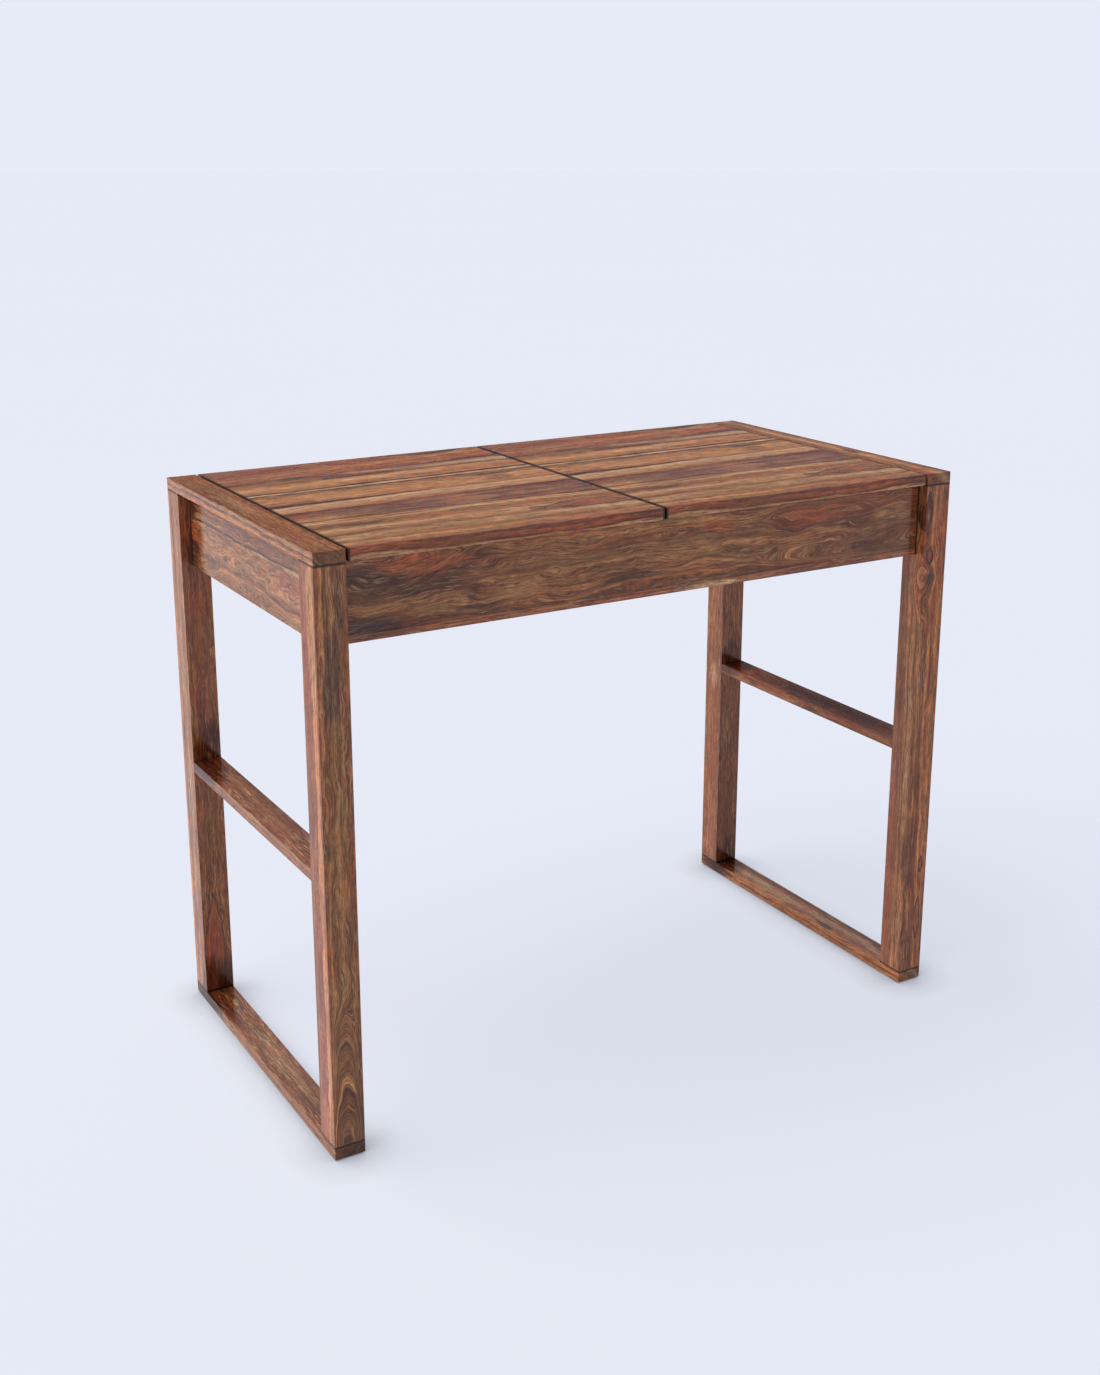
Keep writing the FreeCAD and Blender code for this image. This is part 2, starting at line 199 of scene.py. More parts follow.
def makeGrainEye():
    # an eye, flame or set of arches: inside it the layers close on themselves, from the rim's to the heart's
    group, add, given = newGroup(
        "grainEye",
        {"Place": "Vector", "Across": 0.0, "Centre": "Vector", "Reach": "Vector", "Rim": 0.0, "Depth": 0.0,
         "Arch": 0.0, "Edge": 0.01},
        {"Across": "Float"})
    away = add("VectorMath SUBTRACT", given["Place"], given["Centre"])
    share = add("VectorMath DIVIDE", away, given["Reach"])
    x, y, z = add("SeparateXYZ", add("VectorMath ABSOLUTE", share)).outputs
    xx, yy, zz = add("SeparateXYZ", add("VectorMath MULTIPLY", share, share)).outputs
    pointed, rounded = add("Math ADD", xx, y), add("Math ADD", x, yy)
    far = add("Math ADD", add("Mix FLOAT", given["Arch"], pointed, rounded), zz)
    inside = add("Math SUBTRACT", 1.0, far)
    layer = add("Math MULTIPLY_ADD", inside, given["Depth"], given["Rim"])
    within = add("MapRange SMOOTHSTEP", inside, 0.0, given["Edge"])
    chosen = add("Mix FLOAT", within, given["Across"], layer)
    add("NodeGroupOutput", {"Across": chosen})
    return group


def makeGrainPatch():
    # a soft patch of another tone with streaked edges, as minerals stain the wood; patches of the heart tone
    # are painted shade in corners
    group, add, given = newGroup(
        "grainPatch",
        {"Place": "Vector", "Streaks": 0.5, "Tone": "Color", "Centre": "Vector", "Reach": "Vector",
         "Stain": "Color", "Amount": 0.5},
        {"Tone": "Color"})
    away = add("VectorMath SUBTRACT", given["Place"], given["Centre"])
    share = add("VectorMath DIVIDE", away, given["Reach"])
    far = add("VectorMath DOT_PRODUCT", share, share)
    ragged = add("Math MULTIPLY_ADD", given["Streaks"], -1.3, far)
    amount = add("MapRange SMOOTHSTEP", ragged, -0.45, 0.40, given["Amount"], 0.0)
    stained = add("Mix RGBA", amount, given["Tone"], given["Stain"])
    add("NodeGroupOutput", {"Tone": stained})
    return group


def makeGrainStreaks():
    # noise drawn out into streaks of a size in mm; its range From becomes the range To
    ranges = {"From Min": 0.3, "From Max": 0.7, "To Min": 0.0, "To Max": 1.0}
    group, add, given = newGroup(
        "grainStreaks", {"Place": "Vector", "Size": "Vector", "Start": 0.0, "Detail": 2.0, **ranges},
        {"Value": "Float"})
    scaled = add("VectorMath DIVIDE", given["Place"], given["Size"])
    moved = add("VectorMath ADD", scaled, given["Start"])
    noise = add("TexNoise", moved, 1.0, given["Detail"], 0.55)
    value = add("MapRange", noise, *(given[name] for name in ranges))
    add("NodeGroupOutput", {"Value": value})
    return group


def makeGrainDetail():
    # fine lines, veins, strokes, pores and drifting hue, laid over a board's bands; most follow its layers
    group, add, given = newGroup(
        "grainDetail",
        {"Position": "Vector", "Across": 0.0, "Tone": "Color", "Cut": 0.0, "End Grain": 0.0, "Veins": 1.0,
         "Figure": 1.0, "Light": 1.0, "Dullness": 0.0},
        {"Color": "Color", "Roughness": "Float", "Height": "Float"})
    offset = add("VectorMath SCALE", (91.0, 47.0, 23.0), given["Cut"])
    board = add("VectorMath ADD", given["Position"], offset)
    x, _, z = add("SeparateXYZ", board).outputs
    flow = add("CombineXYZ", x, given["Across"], z)

    # streaks: length and width in mm, detail, the noise's range and what it becomes; seven follow the layers
    streaks = {}
    for name, length, width, detail, *ranges in (
            ("ragged", 34, 3.2, 3, 0.0, 1.0, 0.0, 0.35),
            ("clouds", 48, 7, 3, 0.3, 0.7, 0.86, 1.16),
            ("fibres", 24, 1.2, 3, 0.3, 0.7, 0.70, 1.32),
            ("flecks", 7, 1.6, 2, 0.3, 0.7, 0.80, 1.20),
            ("goldStrokes", 22, 1.6, 2, 0.54, 0.61, 0.0, 1.0),
            ("darkStrokes", 30, 1.5, 2, 0.54, 0.61, 0.0, 0.55),
            ("pores", 9, 0.9, 1, 0.60, 0.67, 0.0, 1.0),
            ("rust", 120, 24, 2, 0.0, 1.0, 0.0, 1.0),
            ("olive", 110, 24, 2, 0.0, 1.0, 0.0, 1.0),
            ("slate", 80, 15, 2, 0.0, 1.0, 0.0, 1.0),
            ("mauve", 70, 14, 2, 0.0, 1.0, 0.0, 1.0),
            ("curl", 15, 26, 2, 0.3, 0.7, 0.92, 1.09),
            ("mottle", 16, 5, 2, 0.3, 0.7, 0.84, 1.18),
            ("linesShow", 90, 22, 1, 0.40, 0.60, 0.3, 1.0),
            ("goldShows", 70, 22, 1, 0.40, 0.60, 0.15, 0.68),
            ("veinsShow", 120, 26, 1, 0.46, 0.60, 0.0, 0.75),
            ("hairlinesShow", 80, 20, 1, 0.42, 0.60, 0.0, 0.6)):
        place, size = flow if len(streaks) < 7 else board, (length, width, width)
        start = 20.0 * len(streaks)
        streaks[name] = add("Group", place, size, start, detail, *ranges, node_tree=grainStreaks)

    # growth lines: mm from one to the next, coarser than the real 1 mm, and then as for the streaks
    lines = {}
    for name, spacing, detail, *ranges in (
            ("broad", 8.0, 2, 0.30, 0.70, -0.18, 0.20),
            ("fine", 2.6, 2, 0.30, 0.70, -0.17, 0.18),
            ("veins", 34.0, 1, 0.48, 0.52, -1.0, 1.0),
            ("hairlines", 9.0, 1, 0.46, 0.54, -1.0, 1.0)):
        place = add("Math MULTIPLY_ADD", given["Across"], 1 / spacing, 3.7 + 5 * len(lines))
        noise = add("TexNoise", place, 1.0, detail, 0.6, noise_dimensions="1D")
        lines[name] = add("MapRange", noise, *ranges)

    # hue drifts slowly along the board: orange-red heartwood, dull olive, dark smoky and grey-violet clouds;
    # a cloud begins at low, and half of the ragged streaks that roughen its edge is 0.175
    tone = given["Tone"]
    for stain, low, amount in (
            ("rust", 0.53, 0.34), ("olive", 0.50, 0.40), ("slate", 0.58, 0.32), ("mauve", 0.55, 0.32)):
        cloud = add("Math ADD", streaks["ragged"], streaks[stain])
        factor = add("MapRange", cloud, low + 0.175, low + 0.315, 0.0, amount)
        tone = add("Mix RGBA", factor, tone, colour(tones[stain]))

    # light and dark: growth lines, clouds, flecks, curl, and fibres ten times as coarse as real ones
    layered = add("Math ADD", lines["broad"], lines["fine"])
    shown = add("Math MULTIPLY", streaks["linesShow"], given["Figure"])
    light = add("Math MULTIPLY_ADD", layered, shown, 1.0)
    for name in ("clouds", "fibres", "flecks", "curl", "mottle"):
        light = add("Math MULTIPLY", light, streaks[name])
    # the board's brightness: partly its wood's tone, partly painted light and shade
    light = add("Math MULTIPLY", light, given["Light"])
    tone = add("VectorMath SCALE", tone, light)

    # golden strokes a few cm long on all but dark wood, smoky ones, thin black-brown veins that come and go,
    # and open pores as dark dashes, 0.9 mm by 9 mm, four times as coarse as the real vessels
    pale = add("Math MULTIPLY", tone, 8.0, use_clamp=True)
    goldShows = add("Math MULTIPLY", streaks["goldShows"], pale)
    for first, second, stain in (
            (streaks["goldStrokes"], goldShows, "#d8aa76"),
            (streaks["darkStrokes"], 1.0, tones["plum"]),
            (lines["veins"], streaks["veinsShow"], tones["vein"]),
            (lines["hairlines"], streaks["hairlinesShow"], tones["vein"]),
            (streaks["pores"], 0.5, tones["vein"]),
            # end grain and the painted shade next to joints share one dark brown
            (given["End Grain"], 1.0, "#2b1a13")):
        if first in (lines["veins"], lines["hairlines"]):
            crest = add("Math SUBTRACT", 1.0, add("Math ABSOLUTE", first))
            first = add("Math MULTIPLY", crest, given["Veins"])
        factor = add("Math MULTIPLY", first, second)
        tone = add("Mix RGBA", factor, tone, colour(stain))

    # lacquer flows level over the fibres and sinks a little in the pores
    gloss = add("MapRange", streaks["fibres"], 0.70, 1.32, 0.09, 0.15)
    gloss = add("Math MULTIPLY_ADD", streaks["pores"], 0.08, gloss)
    gloss = add("Math ADD", gloss, given["Dullness"])
    height = add("Math MULTIPLY_ADD", streaks["pores"], -0.7, streaks["fibres"])
    add("NodeGroupOutput", {"Color": tone, "Roughness": gloss, "Height": height})
    return group


grainStreaks = makeGrainStreaks()
grainField, grainEye = makeGrainField(), makeGrainEye()
grainPatch, grainDetail = makeGrainPatch(), makeGrainDetail()


def bandRamp(add, across, bands):
    # a tone for each stop, in mm across the board
    stops = readRows(bands)
    low, high = stops[0][0], stops[-1][0]
    ramp = add("ValToRGB", add("MapRange", across, low, high))
    elements = ramp.color_ramp.elements
    for place, tone in stops[1:-1]:
        elements.new((place - low) / (high - low)).color = colour(tones[tone])
    elements[0].color, elements[-1].color = colour(tones[stops[0][1]]), colour(tones[stops[-1][1]])
    return ramp


def sheesham(node, board):
    # solid sheesham, planed, sanded and sprayed with clear lacquer: striped brown, gold and red, semi-gloss
    material, add, texture, shader = newMaterial("lacqueredSheesham." + node)
    low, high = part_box(node)
    grain, across = signedAxis(board["grain"]), signedAxis(board["across"])
    inward = grain.cross(across)
    corner = [low[i] if (grain + across + inward)[i] > 0 else high[i] for i in range(3)]
    turn = Matrix((grain, across, inward)).transposed().to_euler()
    position = add("Mapping", texture["Object"], corner, turn, (mm, mm, mm), vector_type="TEXTURE")
    alongBoard, acrossBoard, _ = add("SeparateXYZ", position).outputs

    # end grain is dark; the wood next to a joint is darkened too, as painted shade of the shadow line there
    facing = add("VectorMath DOT_PRODUCT", texture["Normal"], grain)
    facing = add("Math ABSOLUTE", facing)
    endGrain = add("MapRange", facing, 0.6, 0.95, 0.0, board.get("endGrain", 0.35))
    half = sum(abs(grain[i]) * (high[i] - low[i]) for i in range(3)) / mm / 2
    fromMiddle = add("Math ABSOLUTE", add("Math SUBTRACT", alongBoard, half))
    amount = board.get("joint", paintedJointShade["amount"])
    joint = add("MapRange", fromMiddle, half - paintedJointShade["from"], half - paintedJointShade["full"], 0.0, amount)
    dark = add("Math MAXIMUM", endGrain, joint)

    # streaks of 40 mm by 3.5 mm roughen the edges of patches
    stretched = add("VectorMath MULTIPLY", position, (1 / 40, 1 / 3.5, 1 / 3.5))
    streaks = add("TexNoise", stretched, 1.0, 3.0)
    tone = layers = None
    for strip in board["strips"]:
        given = {name: strip.get(name.lower(), usual) for name, usual in fieldUsual.items()}
        given["Position"] = position
        place, stripLayers = add("Group", given, node_tree=grainField).outputs
        for row in readRows(strip.get("eyes", ""), eyeUsual):
            x, y, reachX, reachY, rim, heart, arch, edge, deep, depth = row
            eye = {
                "Place": place, "Across": stripLayers, "Centre": (x, y, deep),
                "Reach": (reachX, reachY, depth), "Rim": rim, "Depth": heart - rim, "Arch": arch,
                "Edge": edge}
            stripLayers = add("Group", eye, node_tree=grainEye)
        stripTone = bandRamp(add, stripLayers, strip["bands"])
        if "hearts" in strip:
            outermost = readRows(strip["hearts"])[0][0]
            inEye = add("Math GREATER_THAN", stripLayers, outermost - 1)
            heartTone = bandRamp(add, stripLayers, strip["hearts"])
            stripTone = add("Mix RGBA", inEye, stripTone, heartTone)
        for row in readRows(strip.get("patches", ""), patchUsual):
            x, y, reachX, reachY, stain, amount, deep, depth = row
            patch = {
                "Place": place, "Streaks": streaks, "Tone": stripTone, "Centre": (x, y, deep),
                "Reach": (reachX, reachY, depth), "Stain": colour(tones[stain]), "Amount": amount}
            stripTone = add("Group", patch, node_tree=grainPatch)
        if tone is not None:
            beyond = add("Math GREATER_THAN", acrossBoard, strip["start"])
            stripTone = add("Mix RGBA", beyond, tone, stripTone)
            stripLayers = add("Mix FLOAT", beyond, layers, stripLayers)
        tone, layers = stripTone, stripLayers

    # a board's light value is partly painted light and shade: low on the foot rails and stretchers under the
    # table, high on the lids
    detail = add("Group", {
        "Position": position, "Across": layers, "Tone": tone, "Cut": board["strips"][0]["cut"],
        "End Grain": dark, "Veins": board.get("veins", 1.0), "Figure": board.get("figure", 1.0),
        "Light": lacquer["brightness"] * board.get("light", 1.0), "Dullness": board.get("dullness", 0.0)},
        node_tree=grainDetail).outputs
    relief = {"Strength": lacquer["relief"], "Distance": lacquer["reliefDepth"], "Height": detail["Height"]}
    setInputs(shader, {
        "Base Color": detail["Color"], "Roughness": detail["Roughness"],
        "Normal": add("Bump", relief), "IOR": lacquer["ior"], "Metallic": lacquer["fibreShine"]})
    return material


# A board's x runs along its grain and its y across it, in mm from the corner that the board's comment names.
# bands: "y tone" across the growth layers; hearts: the same for the layers inside eyes
# eyes: "x y reachX reachY rim heart arch edge deep depth", with the layers at the rim and at the heart, 1 for
# arches, how softly the rim begins, and for an eye on another face its place and its reach into the board
# patches: "x y reachX reachY tone amount deep depth"
# light: a board's brightness, partly its wood's tone and partly painted light and shade, low on the foot
# rails and stretchers that lie in the table's shade and high on the lids
fieldUsual = {
    "Cut": 0.0, "Wander": 24.0, "Swirl": 8.0, "Slope": 0.0, "Fade": 1e6, "Middle": 0.0, "Lean": -1.0}
eyeUsual = [None, None, None, None, None, None, 0.0, 0.01, 0.0, 26.0]
patchUsual = [None, None, None, None, None, 0.6, 0.0, 26.0]

# each lid is three strips glued edge to edge: from its back edge and its left end
lidBoard = {
    # endGrain 0.95 darkens the lids' end faces to near black: partly end grain, partly painted shade in the
    # gaps beside the lids
    "grain": "+x", "across": "-y", "light": 1.15, "endGrain": 0.95, "figure": 0.8, "veins": 0.5,
    "strips": [{
        "cut": 1, "wander": 16, "swirl": 7, "slope": 0.15, "fade": 218, "middle": 212, "lean": 1,
        "bands": "0 mauve, 26 redBrown, 40 brown, 52 gold, 58 redBrown, 70 brown, 80 redBrown, 85 plum, "
          "87 vein, 92 vein, 94 plum, 99 brown, 108 umber, 114 plum, 116 vein, 121 vein, 123 brown, "
          "129 gold, 138 tan, 147 gold, 158 brown, 164 gold, 167 vein, 172 vein, 174 tan, 180 tan, "
          "182 vein, 186 vein, 189 umber, 206 gold, 230 gold, 250 brown",
        "hearts": "300 vein, 312 plum, 316 olive, 350 tan, 400 plum, 412 umber, 440 redBrown",
        "eyes": "430 97 390 22 300 345, 335 0 84 30 300 318 0 0.2, 250 2 24 16 400 415",
        "patches": "390 50 130 20 rust 0.8, 190 58 80 12 rust 0.55, 40 70 50 26 mauve, "
          "60 140 150 24 gold 0.7, 360 136 110 16 rust 0.5, 270 150 60 8 redBrown 0.5, "
          "345 196 46 8 slate 0.85, 345 222 26 22 plum, 60 225 80 18 gold 0.7, 290 232 40 14 gold 0.7, "
          "200 210 60 10 redBrown 0.45, 52 244 22 10 redBrown 0.8"
    }, {
        "start": 250, "cut": 2, "wander": 8, "swirl": 5, "slope": 0.0525, "middle": 212, "lean": 1,
        "bands": "250 vein, 253 vein, 254 tan, 265 tan, 267 brown, 270 tan, 282 gold, 288 brown, 292 plum, "
          "294 vein, 298 plum, 304 redBrown, 325 brown, 340 umber, 354 brown, 355 vein",
        "hearts": "400 vein, 408 plum, 424 plum, 436 mauve, 444 redBrown, 447 vein, 455 plum, 478 plum, "
          "484 umber, 500 brown",
        "eyes": "302 326 290 34 400 500",
        "patches": "110 322 90 16 plum, 240 326 46 24 brown 0.8, 30 346 60 8 gold 0.8, "
          "296 326 12 20 plum 0.7, 350 320 60 14 redBrown 0.5"
    }, {
        "start": 355, "cut": 3, "wander": 18, "swirl": 12, "middle": 212, "lean": 1,
        "bands": "355 vein, 357 vein, 358 tan, 361 gold, 364 olive, 367 tan, 374 olive, 392 brown, "
          "402 olive, 410 tan, 424 olive, 432 umber, 438 olive, 450 tan, 462 olive, 472 umber, 480 gold, "
          "488 olive, 496 mauve, 501 plum, 505 rust, 508 redBrown, 510 vein, 512 gold, 516 tan",
        "hearts": "600 vein, 608 plum, 613 umber, 622 brown, 632 redBrown, 650 rust",
        "eyes": "378 420 88 22 600 640, 207 419 30 14 470 455 1 0.5",
        "patches": "60 388 80 12 slate 0.7, 290 420 16 14 slate, 215 416 50 20 gold 0.5, "
          "300 484 130 10 mauve 0.5, 120 455 90 20 olive, 60 496 80 6 redBrown"
    }],
}
# the front apron, a wide strip over a narrow one: from its top edge and its left end
apronBoard = {
    "grain": "+x", "across": "-z", "veins": 0.6, "light": 1.11, "figure": 1.3,
    "strips": [{
        "cut": 4, "wander": 20, "swirl": 20, "middle": 428, "lean": 1,
        "bands": "-12 umber, 4 umber, 12 gold, 18 brown, 26 umber, 34 olive, 42 umber, 48 gold, 54 umber, "
          "60 olive, 66 umber, 70 gold, 76 umber, 80 brown, 86 umber, 92 plum, 116 plum",
        "hearts": "200 vein, 205 slate, 210 umber, 222 brown, 232 redBrown, 300 plum, 304 umber, "
          "312 redBrown, 330 rust, 344 redBrown",
        "eyes": "52 6 128 38 200 228 0 0.02, 690 22 118 19 300 340 0 0.25, 880 70 330 25 66 -34 1 0.35",
        "patches": "20 50 190 72 plum 0.9, 20 60 170 60 vein 0.45, 810 50 130 70 plum, "
          "104 15 76 14 rust 0.85, 20 22 50 20 slate, 186 16 26 7 vein 0.8, 70 42 90 5 vein 0.8, "
          "36 82 50 14 slate 0.75, 30 58 90 9 gold, 118 68 50 14 gold, 180 80 50 10 slate, "
          "232 64 40 12 gold 0.5, 260 18 90 14 olive, 388 72 60 9 slate 0.8, 300 86 70 5 slate 0.5, "
          "470 48 80 14 gold, 330 40 110 12 olive 0.5, 515 22 30 8 rust 0.7, 640 48 120 5 gold, "
          "790 74 70 14 slate 0.8, 812 32 44 12 gold 0.7"
    }, {
        "start": 89, "cut": 41, "wander": 3, "swirl": 3, "middle": 428, "lean": 1,
        "bands": "85 vein, 89.5 vein, 90.5 rose, 93 mauve, 95 rose, 98 mauve, 104 rose",
        "patches": "508 97 56 8 tan 0.95, 250 95 120 5 brown 0.7, 40 96 90 8 plum 0.7, 720 96 120 6 plum"
    }],
}
# the left side panel, a narrow strip over a wide one: from its top edge and the back leg
sideBoard = {
    # the heart patches at the back-leg end are painted shade next to the leg
    "grain": "-y", "across": "-z", "light": 0.86, "veins": 0.3, "figure": 0.7,
    "strips": [{
        "cut": 5, "wander": 8, "slope": 0.01, "middle": 208, "lean": 1,
        "bands": "-10 rose, 4 amber, 7 mauve, 9 brown, 14 amber, 17 mauve, 20 brown, 26 gold, 30 plum, "
          "32 plum, 33.5 tan, 40 tan",
        "hearts": "100 plum, 104 mauve, 112 rose, 116 mauve, 130 rose",
        "eyes": "175 18 64 9 100 130, 290 20 80 9 100 130",
        "patches": "0 14 36 24 heart 0.95"
    }, {
        "start": 33, "cut": 6, "wander": 30, "swirl": 34, "middle": 208, "lean": 1,
        "bands": "10 brown, 22 olive, 34 gold, 40 brown, 46 gold, 52 brown, 60 gold, 68 olive, 72 umber, "
          "75 brown, 82 gold, 92 olive, 100 brown, 116 tan",
        "patches": "350 50 40 13 rose 0.7, 130 60 80 14 gold 0.5, 180 96 30 5 slate, "
          "300 84 60 8 olive 0.5, 235 52 50 6 plum 0.35, 0 70 44 60 heart 0.95, 15 50 46 15 rust 0.9"
    }],
}
# legs: from the foot and the corner between the front face and the left face, which lies below 0
legBoards = {
    "front_left_leg": {
        "cut": 7, "swirl": 16, "slope": 0.004, "figure": 1.4, "light": 1.09,
        "bands": "-44 umber, -36 redBrown, -20 redBrown, -16 plum, -13 amber, -4 gold, -1.5 umber, "
          "0 umber, 5 brown, 8 gold, 12 umber, 17 olive, 21 gold, 25 umber, 30 olive, 34 umber, 38 brown, "
          "44 umber, 52 gold, 57 plum, 66 olive, 70 umber, 80 gold, 84 plum, 93 brown, 98 umber, 107 gold, "
          "111 plum, 120 olive, 125 umber, 135 gold",
        "hearts": "200 plum, 204 umber, 212 brown, 230 umber, 240 olive, 300 brown",
        "eyes": "-80 19 300 30 24 150 1 0.3, 250 0 640 60 200 300 0 0.01 70 40",
        "patches": "598 18 70 16 slate 0.75, 395 4 26 5 slate 0.85, 40 34 70 10 slate, "
          "690 30 50 6 slate 0.8, 328 24 34 9 gold 0.7, 212 8 30 6 gold 0.7, 115 6 20 6 gold 0.7, "
          "20 14 44 9 slate 0.5, 500 18 60 9 olive, 250 26 50 8 umber, 20 0 50 12 rust 0.7 24 12, "
          "660 0 90 12 gold 0.7 16 10, 330 0 160 12 amber 0.6 10 6, 430 0 60 12 plum 0.5 32 8"},
    "front_right_leg": {
        "cut": 8, "swirl": 12, "slope": 0.01, "figure": 1.4, "light": 1.03,
        "bands": "-50 rose, -38 rose, -34 plum, -30 redBrown, -22 rose, -15 gold, -12 redBrown, -8 gold, "
          "-1 brown, 0 umber, 4 brown, 8 gold, 11 rust, 15 brown, 18 redBrown, 20 brown, 22 gold, "
          "25 amber, 28 rust, 32 brown, 36 amber, 40 brown, 44 rust",
        "hearts": "100 vein, 106 plum, 114 rust, 130 brown, 150 rust, 200 plum, 204 mauve, 212 rose, "
          "230 mauve, 240 rose, 300 rose",
        "eyes": "84 27 36 8 100 130, 168 30 14 5 100 118, 600 -6 80 40 38 0 1 0.8, 630 14 15 6 100 112, "
          "690 6 40 8 100 106, 250 0 640 60 200 300 0 0.01 66 46",
        "patches": "190 7 70 8 plum 0.65, 300 8 30 8 redBrown, 597 12 12 12 slate 0.9, "
          "330 26 90 8 rust 0.5, 640 31 90 6 rust 0.8, 420 8 90 9 gold 0.5, 545 16 40 12 rust 0.5, "
          "712 34 14 7 slate 0.8, 460 24 60 6 redBrown, 40 10 40 8 olive 0.5, 330 0 160 12 tan 0.6 10 6, "
          "440 0 60 12 plum 0.6 32 9, 100 0 120 12 rust 0.4 30 12"},
    # back legs: the heart patches at the foot rail and at the stretcher are painted shade of those corners
    "back_left_leg": {
        "cut": 9, "swirl": 14, "light": 0.92,
        "bands": "-50 amber, -38 amber, -33 gold, -30 plum, -27 rose, -18 gold, -12 brown, -6 rose, "
          "-1 gold, 0.5 umber, 6 brown, 12 redBrown, 18 umber, 24 brown, 30 umber, 36 brown, 44 umber",
        "hearts": "100 vein, 105 plum, 112 rust, 130 rust, 150 redBrown, 200 plum, 206 umber, 230 brown",
        "eyes": "60 18 96 15 100 140 0 0.04, 525 18 66 15 200 230 0 0.3",
        "patches": "0 20 66 40 heart 0.95, 250 18 80 12 olive 0.5, 440 16 30 10 redBrown, "
          "300 30 50 8 redBrown 0.5, 368 26 46 26 heart 0.85, 640 20 50 20 plum, "
          "310 0 70 12 tan 0.8 20 14, 240 0 24 12 plum 0.7 4 8, 500 0 90 12 gold 0.6 26 12"},
    "back_right_leg": {
        "cut": 10, "swirl": 12, "light": 0.92,
        "bands": "-50 rose, -36 brown, -26 rose, -12 brown, -1 mauve, 0.5 umber, 10 brown, 20 umber, "
          "32 brown, 44 umber",
        "patches": "200 0 80 12 rust 0.5 20 14, 300 20 90 12 olive 0.5, 330 0 30 12 tan 0.6 20 12, "
          "0 26 56 30 heart 0.9, 366 20 30 24 heart 0.8"},
}
# rails and stretchers: from the front end and the left edge of the top face; the left face lies below 0
railBoards = {
    "left_top_rail": {
        "cut": 11, "light": 0.91,
        "bands": "-18 rose, -12 amber, -7 plum, -4 gold, -0.5 brown, 0.5 umber, 10 brown, 20 olive, "
          "30 brown, 44 umber",
        "patches": "470 30 60 12 rust, 90 18 60 10 rust 0.4, 280 20 90 12 tan 0.4"},
    "right_top_rail": {
        "cut": 12,
        "bands": "-18 umber, -4 brown, 0 umber, 10 brown, 20 tan, 30 brown, 44 umber",
        "patches": "188 24 26 9 slate 0.95, 60 20 70 14 rust 0.4, 460 14 40 12 mauve, 30 36 30 5 slate 0.9"},
    # foot rails and stretchers: their low light values are painted shade under the table, and their heart
    # patches by the back legs are painted shade of those corners
    "left_foot_rail": {
        "cut": 13, "light": 0.56,
        "bands": "-18 rust, -14 amber, -10 amber, -9 redBrown, -7 amber, -1 amber, 1 brown, 8 umber, "
          "12 brown, 24 olive, 30 umber, 36 brown, 44 umber",
        "patches": "230 20 120 14 tan 0.45, 110 12 60 7 plum 0.5, 462 6 96 26 heart 1, "
          "370 8 40 10 plum 0.5"},
    "right_foot_rail": {
        "cut": 14, "light": 0.76, "endGrain": 0,
        "bands": "-18 rust, -14 amber, -10 amber, -7 redBrown, -5 amber, 0 amber, 10 brown, 20 tan, "
          "29 brown, 33 plum, 36 slate, 38 tan, 44 brown",
        "patches": "180 8 24 6 slate 0.9, 330 16 110 12 tan 0.5, 460 10 60 34 heart 1, 60 30 40 10 plum"},
    "left_stretcher": {
        "cut": 15, "light": 0.66,
        "bands": "-18 amber, -12 rose, -8 amber, -6 plum, -5 amber, -0.5 amber, 1 umber, 8 brown, "
          "14 umber, 22 brown, 32 umber, 44 umber",
        "patches": "150 16 60 8 gold 0.5, 60 26 60 10 plum, 412 8 104 34 heart 1"},
    "right_stretcher": {
        "cut": 16, "light": 0.8,
        "bands": "-18 amber, -14 rust, -10 amber, -5 rust, 0 rust, 10 rust, 20 redBrown, 30 redBrown, "
          "44 brown",
        "patches": "200 22 160 14 plum 0.7, 330 0 24 4 slate 0.7 8 5, 180 0 20 4 plum 0.7 10 5, "
          "410 14 56 34 heart 1"},
}

# what the front view doesn't show: each board's grain, its direction across, its cut and how its layers lean
hiddenBands = ("-18 umber, 0 brown, 14 umber, 30 brown, 46 rose, 60 olive, 76 umber, 92 brown, 110 redBrown, "
               "140 brown, 165 olive, 190 brown, 215 umber, 240 brown, 265 rose, 290 brown, 315 umber, "
               "340 olive, 370 brown, 400 umber, 430 brown, 460 redBrown")
hiddenBoards = {
    "back_apron": ("-x", "-z", 17, 1),
    "right_side_panel": ("+y", "-z", 18, 1),
    "centre_divider": ("+y", "-z", 19, 1),
    "front_cleat": ("+x", "-z", 20, 1),
    "back_cleat": ("-x", "-z", 21, 1),
    "left_cleat": ("-y", "-z", 22, 1),
    "right_cleat": ("+y", "-z", 23, 1),
    "left_lid_inner_batten": ("+y", "-x", 24, -1),
    "left_lid_outer_batten": ("+y", "-x", 25, -1),
    "right_lid_inner_batten": ("+y", "-x", 26, -1),
    "right_lid_outer_batten": ("+y", "-x", 27, -1),
    "bottom_panel": ("+x", "+y", 28, 1),
}
satinDullness = 0.18  # the inside has a thin satin coat

boards = {
    "left_lid": lidBoard, "right_lid": lidBoard, "front_apron": apronBoard, "left_side_panel": sideBoard}
for node, leg in legBoards.items():
    boards[node] = {"grain": "+z", "across": "+x", "veins": 0.5, **leg, "strips": [{"wander": 9, **leg}]}
for node, rail in railBoards.items():
    board = {"grain": "+y", "across": "+x", "veins": 0.5, "joint": 0.0, **rail}
    boards[node] = {**board, "strips": [{"wander": 9, **rail}]}
for node, (grain, across, cut, lean) in hiddenBoards.items():
    strip = {"wander": 22, "lean": lean, "cut": cut, "bands": hiddenBands}
    dullness = 0.0 if node in ("back_apron", "right_side_panel") else satinDullness
    boards[node] = {"grain": grain, "across": across, "dullness": dullness, "strips": [strip]}
for node, board in boards.items():
    setMaterial(nodes[node], sheesham(node, board))
print("sheesham boards:", len(boards))


